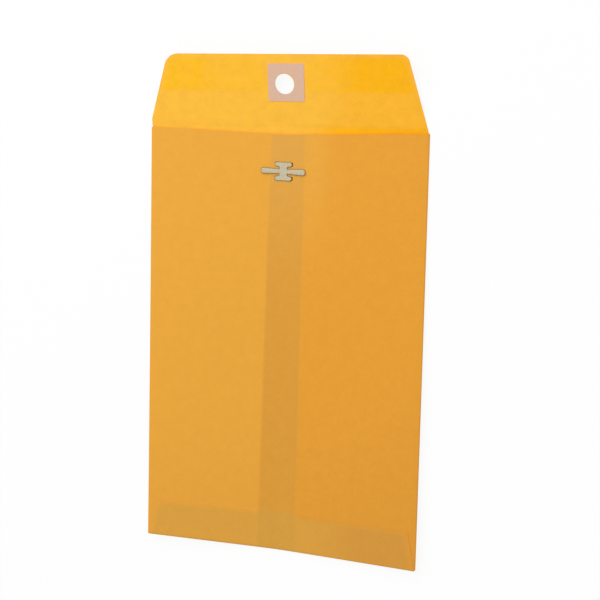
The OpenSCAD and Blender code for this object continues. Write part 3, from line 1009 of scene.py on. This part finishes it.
class FoldPaper(bpy.types.Operator):
    """Cuts the blank from kraft paper and folds it into the pocket and the closure flap"""

    bl_idname = "envelope.fold_paper"
    bl_label = "Fold the paper"

    def execute(self, context):
        look = context.scene.envelope_paper
        slip = look.hole_slip / math.sqrt(2)
        hole = ring((HOLE_X - slip, FLAP_START + HOLE_U - slip), HOLE_R)
        slots = claw_slots(left_to_flat, True) + claw_slots(right_to_flat, True)
        flat, faces = cut_flat(blank_outline(), [hole, *slots], look.grid, blank_patches(look.grid))
        piece = bent_sheet(
            "folded_kraft_sheet", flat, faces, fold_sheet, PAPER,
            [kraft_inside(), kraft_outside(), kraft_edge()],
        )
        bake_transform(piece)
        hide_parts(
            "front_panel", "left_side_fold", "right_side_fold", "bottom_fold",
            "left_back_panel", "right_back_panel", "bottom_flap", "closure_flap",
        )
        return {"FINISHED"}


class SpreadGlue(bpy.types.Operator):
    """Spreads the films of glue in the centre seam and under the bottom flap"""

    bl_idname = "envelope.spread_glue"
    bl_label = "Spread the glue"

    def execute(self, context):
        glue = [dried_glue()] * 3
        margin = 1.5 * MM
        seam = [
            (RIGHT_FREE_BOTTOM[0] + margin, BOTTOM_Y + margin),
            (LEFT_FREE_BOTTOM[0] - margin, BOTTOM_Y + margin),
            (LEFT_FREE_TOP[0] - margin, LEFT_FREE_TOP[1] - margin),
            (RIGHT_FREE_TOP[0] + margin, RIGHT_FREE_TOP[1] - margin),
        ]
        low_y, high_y = BOTTOM_Y + 3 * MM, BOTTOM_FLAP_TIP[1] - margin
        low_x, high_x = RIGHT_X - 4 * MM, BOTTOM_FLAP_TIP[0] - margin
        bottom = [(-low_x, low_y), (low_x, low_y), (high_x, high_y), (-high_x, high_y)]
        for name, node, outline, holes, height in (
            ("seam_glue_film", "seam_glue", seam, claw_slots(lambda x: x, False),
             lambda x, y: (left_panel_z(x, y) + right_panel_z(x, y)) / 2),
            ("bottom_glue_film", "bottom_flap_glue", bottom, [],
             lambda x, y: bottom_flap_height(x, y) - PAPER / 2 - FILM / 2),
        ):
            flat, faces = cut_flat(outline, holes, 3 * MM)
            piece = bent_sheet(
                name, flat, faces, lambda p: np.column_stack([p, height(p[:, 0], p[:, 1])]), FILM, glue
            )
            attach(piece, "pocket")
            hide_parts(node)
        return {"FINISHED"}


class RollGum(bpy.types.Operator):
    """Rolls the two strips of gum onto the inside of the closure flap"""

    bl_idname = "envelope.roll_gum"
    bl_label = "Roll on the gum"

    def execute(self, context):
        gum = [dried_gum()] * 3
        fade = 1.4 * MM
        corner_r = 2 * MM
        cut_r = 1 * MM
        radii = [corner_r, corner_r, cut_r, cut_r, corner_r]
        for side, out in (("left", -1), ("right", 1)):
            points = flap_flat(node_points(side + "_gum"))
            towards = ((-out, -1, 0), (out, -1, 0), (out, 0.6, 0), (out * 0.6, 1, 0), (-out, 1, 0))
            outline = np.array([corner(points, direction)[:2] for direction in towards])
            outline = rounded(outline, radii) + [0, FLAP_START]
            flat, faces = cut_flat(outline, spacing=1.2 * MM)
            piece = bent_sheet(
                side + "_gum_film", flat, faces,
                lambda p: flap_surface(p[:, 0], p[:, 1] - FLAP_START, np.full(len(p), PAPER / 2)), FILM, gum,
            )
            store_from_edge(piece, "cover", stepped(outline, 0.5 * MM), fade)
            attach(piece, "flap")
            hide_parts(side + "_gum")
        return {"FINISHED"}


class StickPatch(bpy.types.Operator):
    """Sticks the square reinforcing patch round the hole in the closure flap"""

    bl_idname = "envelope.stick_patch"
    bl_label = "Stick on the patch"

    def execute(self, context):
        points = flap_flat(node_points("hole_patch"))
        low, high = points.min(0), points.max(0)
        thick = high[2] - low[2]
        outline = rounded(
            [(low[0], low[1]), (high[0], low[1]), (high[0], high[1]), (low[0], high[1])], [0.5 * MM] * 4, 4
        )
        flat, faces = cut_flat(outline, [ring((HOLE_X, HOLE_U), HOLE_R)], 1.2 * MM)
        piece = bent_sheet(
            "reinforcing_patch", flat, faces,
            lambda p: flap_surface(p[:, 0], p[:, 1], np.full(len(p), (PAPER + thick) / 2)), thick,
            [patch_paper()] * 3,
        )
        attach(piece, "flap")
        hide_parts("hole_patch")
        return {"FINISHED"}


class BendClasp(bpy.types.Operator):
    """Stamps the base of the clasp, bends its claws through the seam and clinches them"""

    bl_idname = "envelope.bend_clasp"
    bl_label = "Bend the clasp's base"

    def execute(self, context):
        look = context.scene.envelope_clasp
        outline = self.outline(look)
        flat, faces = cut_flat(outline, spacing=0.2 * MM)
        piece = bent_sheet(
            "stamped_clasp_base", flat, faces, lambda p: self.place(look, p), CLASP_T, stamped_tin()
        )
        edge = stepped(outline, 0.1 * MM)
        at_waist = abs(edge[:, 0]) < look.waist_w / 2 + 0.05 * MM
        beside_prong = at_waist & (abs(edge[:, 1]) < look.root_w / 2)
        store_from_edge(piece, "from_rim", edge[~beside_prong], look.rim)
        round_edges(piece)
        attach(piece, "pocket")
        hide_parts("clasp_base")
        return {"FINISHED"}

    def bend_start(self, look):
        """Where a bar starts to bend down into a claw."""
        return look.bar_w / 2 - look.bend_r - CLASP_T / 2

    def outline(self, look):
        """One quarter of the flat stamping, mirrored to the whole."""
        point_l = 1.2 * MM
        claw_half = (look.bar_h - 1.1 * MM) / 2
        fillet_r, bar_r, claw_r, point_r = 0.8 * MM, 0.25 * MM, 0.1 * MM, 0.2 * MM
        waist, top_y = look.waist_w / 2, look.base_h / 2
        inner_y, middle_y = top_y - look.bar_h, top_y - look.bar_h / 2
        low_y, high_y = middle_y - claw_half, middle_y + claw_half
        bar_end = self.bend_start(look)
        tip_x = bar_end + math.pi * look.bend_r + self.drop(look) + look.claw_l - look.bend_r - CLASP_T / 2
        corners = np.array([
            (waist, 0, 0),
            (waist, inner_y, fillet_r),
            (bar_end, inner_y, bar_r),
            (bar_end, low_y, claw_r),
            (tip_x - point_l, low_y, claw_r),
            (tip_x, middle_y, point_r),
            (tip_x - point_l, high_y, claw_r),
            (bar_end, high_y, claw_r),
            (bar_end, top_y, bar_r),
            (0, top_y, 0),
            (0, 0, 0),
        ])
        first = rounded(corners[:, :2], corners[:, 2], 5)[:-1]
        second = first[::-1] * [-1, 1]
        half = np.concatenate([first[:-1], second])
        lower = half[::-1] * [1, -1]
        return np.concatenate([half[:-1], lower[:-1]])

    def drop(self, look):
        """Straight length of a claw between its two bends."""
        return (BACK_Z + CLASP_T / 2) - self.foot_z() - 2 * look.bend_r

    def foot_z(self):
        """Height of the middle of a clinched claw."""
        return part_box("clasp_base")[0].z + CLASP_T / 2

    def place(self, look, flat):
        """Bends the flat stamping and carries it to the back."""
        radius = look.bend_r
        start = self.bend_start(look)
        top, foot, drop = BACK_Z + CLASP_T / 2, self.foot_z(), self.drop(look)
        side = np.sign(flat[:, 0])
        past = np.maximum(abs(flat[:, 0]) - start, 0)
        quarter = math.pi * radius / 2
        down = np.clip(past / radius, 0, math.pi / 2)
        straight = np.clip(past - quarter, 0, drop)
        under = np.clip((past - quarter - drop) / radius, 0, math.pi / 2)
        inward = np.maximum(past - 2 * quarter - drop, 0)
        out = np.minimum(abs(flat[:, 0]), start) + radius * np.sin(down)
        x = out - radius * (1 - np.cos(under)) - inward
        z = top - radius * (1 - np.cos(down)) - straight - radius * np.sin(under)
        z = np.where(inward > 0, foot, z)
        return clasp_place(np.column_stack([side * x, flat[:, 1], z]))


class FormProngs(bpy.types.Operator):
    """Forms the two prongs that lie flat beside the waist of the clasp"""

    bl_idname = "envelope.form_prongs"
    bl_label = "Form the prongs"

    def execute(self, context):
        look = context.scene.envelope_clasp
        stamped = stamped_tin()
        height = PRONG_JOINTS["left"]["pos_m"][2]
        for side, sign, width, tip_r in (
            ("left", -1, look.left_prong_w, look.left_tip_r),
            ("right", 1, look.right_prong_w, look.right_tip_r),
        ):
            outline = self.outline(look, width, tip_r)
            flat, faces = cut_flat(outline, spacing=0.25 * MM)
            piece = bent_sheet(
                side + "_tin_prong", flat, faces, self.placer(look, sign, height), CLASP_T, stamped
            )
            edge = stepped(outline, 0.1 * MM)
            store_from_edge(piece, "from_rim", edge[edge[:, 0] > look.waist_w / 2], look.rim)
            round_edges(piece)
            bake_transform(piece)
            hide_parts(side + "_prong")
        return {"FINISHED"}

    def outline(self, look, width, tip_r):
        """A flat prong, which starts a little inside the waist and is widest near its tip."""
        hidden_l = 0.25 * MM
        widest = 0.7
        side_r = 8 * MM
        root = look.waist_w / 2 - hidden_l
        middle = PRONG_SPREAD / 2 + look.prong_l * widest
        tip = PRONG_SPREAD / 2 + look.prong_l
        upper = [(root, look.root_w / 2), (middle, width / 2), (tip, width / 2)]
        lower = [(x, -y) for x, y in upper]
        radii = [0, side_r, tip_r]
        return rounded(lower + upper[::-1], radii + radii[::-1], 6)

    def placer(self, look, sign, height):
        """Carries a flat prong to its place, slightly crowned across, its root level with the waist."""
        crown_h, crown_half_w, crown_l = 0.05 * MM, 1.7 * MM, 2 * MM
        dip_l = 0.9 * MM
        # The root lies a hair under the waist, so that their faces don't coincide
        dip = height - BACK_Z - CLASP_T / 2 + 0.01 * MM

        def place(flat):
            from_waist = flat[:, 0] - look.waist_w / 2
            crown = crown_h * (1 - (flat[:, 1] / crown_half_w) ** 2) * smooth(from_waist / crown_l)
            z = height + crown - dip * (1 - smooth(from_waist / dip_l))
            return clasp_place(np.column_stack([sign * flat[:, 0], sign * flat[:, 1], z]))
        return place


def round_edges(piece):
    """Breaks the sharp edges of a stamping a little."""
    bevel = piece.modifiers.new("worn_edges", "BEVEL")
    bevel.width = 0.05 * MM
    bevel.segments = 2
    bevel.limit_method = "ANGLE"
    bevel.angle_limit = SHARP_ANGLE


class SetStage(bpy.types.Operator):
    """Sets the white floor, the soft light and the camera"""

    bl_idname = "envelope.set_stage"
    bl_label = "Set the stage"

    def execute(self, context):
        look = context.scene.envelope_stage
        self.floor()
        self.light(context, look)
        camera = bpy.data.cameras.new("camera")
        camera.lens = look.lens
        camera.sensor_width = 36.0
        camera.clip_start = 0.01
        holder = bpy.data.objects.new("camera", camera)
        holder.location = look.camera_place
        holder.rotation_euler = look.camera_turn
        context.scene.collection.objects.link(holder)
        context.scene.camera = holder
        context.scene.view_settings.view_transform = "Standard"
        return {"FINISHED"}

    def floor(self):
        """A wide sheet of studio paper under the object."""
        reach = 8.0
        mesh = bpy.data.meshes.new("studio_floor")
        corners = [(-reach, -reach, 0), (reach, -reach, 0), (reach, reach, 0), (-reach, reach, 0)]
        mesh.from_pydata(corners, [], [(0, 1, 2, 3)])
        mesh.materials.append(floor_sheet())
        floor = bpy.data.objects.new("studio_floor", mesh)
        floor.location.z = -0.02 * MM
        bpy.context.scene.collection.objects.link(floor)

    def light(self, context, look):
        """White surroundings and one large soft box from the upper left."""
        world = bpy.data.worlds.new("studio")
        world.use_nodes = True
        tree = world.node_tree
        tree.nodes.clear()
        seen = seen_rays(tree)
        around = add(tree, "ShaderNodeBackground", {"Color": (1, 1, 1, 1), "Strength": look.ambient})
        white = add(tree, "ShaderNodeBackground", {"Color": (1, 1, 1, 1), "Strength": 1.0})
        mix = add(tree, "ShaderNodeMixShader", {0: seen, 1: around.outputs[0], 2: white.outputs[0]})
        add(tree, "ShaderNodeOutputWorld", {"Surface": mix.outputs[0]})
        context.scene.world = world
        lamp = bpy.data.lights.new("soft_box", "AREA")
        lamp.shape = "RECTANGLE"
        lamp.size = 1.5
        lamp.size_y = 1.3
        lamp.energy = look.key_power
        holder = bpy.data.objects.new("soft_box", lamp)
        holder.location = (-0.5, 1.1, 0.9)
        holder.rotation_mode = "QUATERNION"
        holder.rotation_quaternion = (Vector((0, 0.02, 0)) - holder.location).to_track_quat("-Z", "Y")
        context.scene.collection.objects.link(holder)


class EnvelopePanel(bpy.types.Panel):
    """Lists the steps that make the envelope"""

    bl_idname = "VIEW3D_PT_envelope"
    bl_label = "Clasp envelope"
    bl_space_type = "VIEW_3D"
    bl_region_type = "UI"
    bl_category = "Envelope"

    def draw(self, context):
        for step in STEPS:
            self.layout.operator(step.bl_idname)
        for group in GROUPS:
            settings = getattr(context.scene, group)
            for name in settings.__annotations__:
                self.layout.prop(settings, name)


STEPS = (SetStage, FoldPaper, SpreadGlue, RollGum, StickPatch, BendClasp, FormProngs)
GROUPS = {"envelope_paper": PaperSettings, "envelope_clasp": ClaspSettings, "envelope_stage": StageSettings}


def register():
    """Registers the classes and hangs the settings on the scene."""
    for made in (*GROUPS.values(), *STEPS, EnvelopePanel):
        bpy.utils.register_class(made)
    for name, group in GROUPS.items():
        setattr(bpy.types.Scene, name, bpy.props.PointerProperty(type=group))


def unregister():
    """Takes the settings and the classes away again."""
    for name in GROUPS:
        delattr(bpy.types.Scene, name)
    for made in (EnvelopePanel, *reversed(STEPS), *reversed(GROUPS.values())):
        bpy.utils.unregister_class(made)


def main():
    """Makes the whole envelope."""
    register()
    bpy.ops.envelope.set_stage()
    bpy.ops.envelope.fold_paper()
    bpy.ops.envelope.spread_glue()
    bpy.ops.envelope.roll_gum()
    bpy.ops.envelope.stick_patch()
    bpy.ops.envelope.bend_clasp()
    bpy.ops.envelope.form_prongs()


if __name__ == "__main__":
    main()
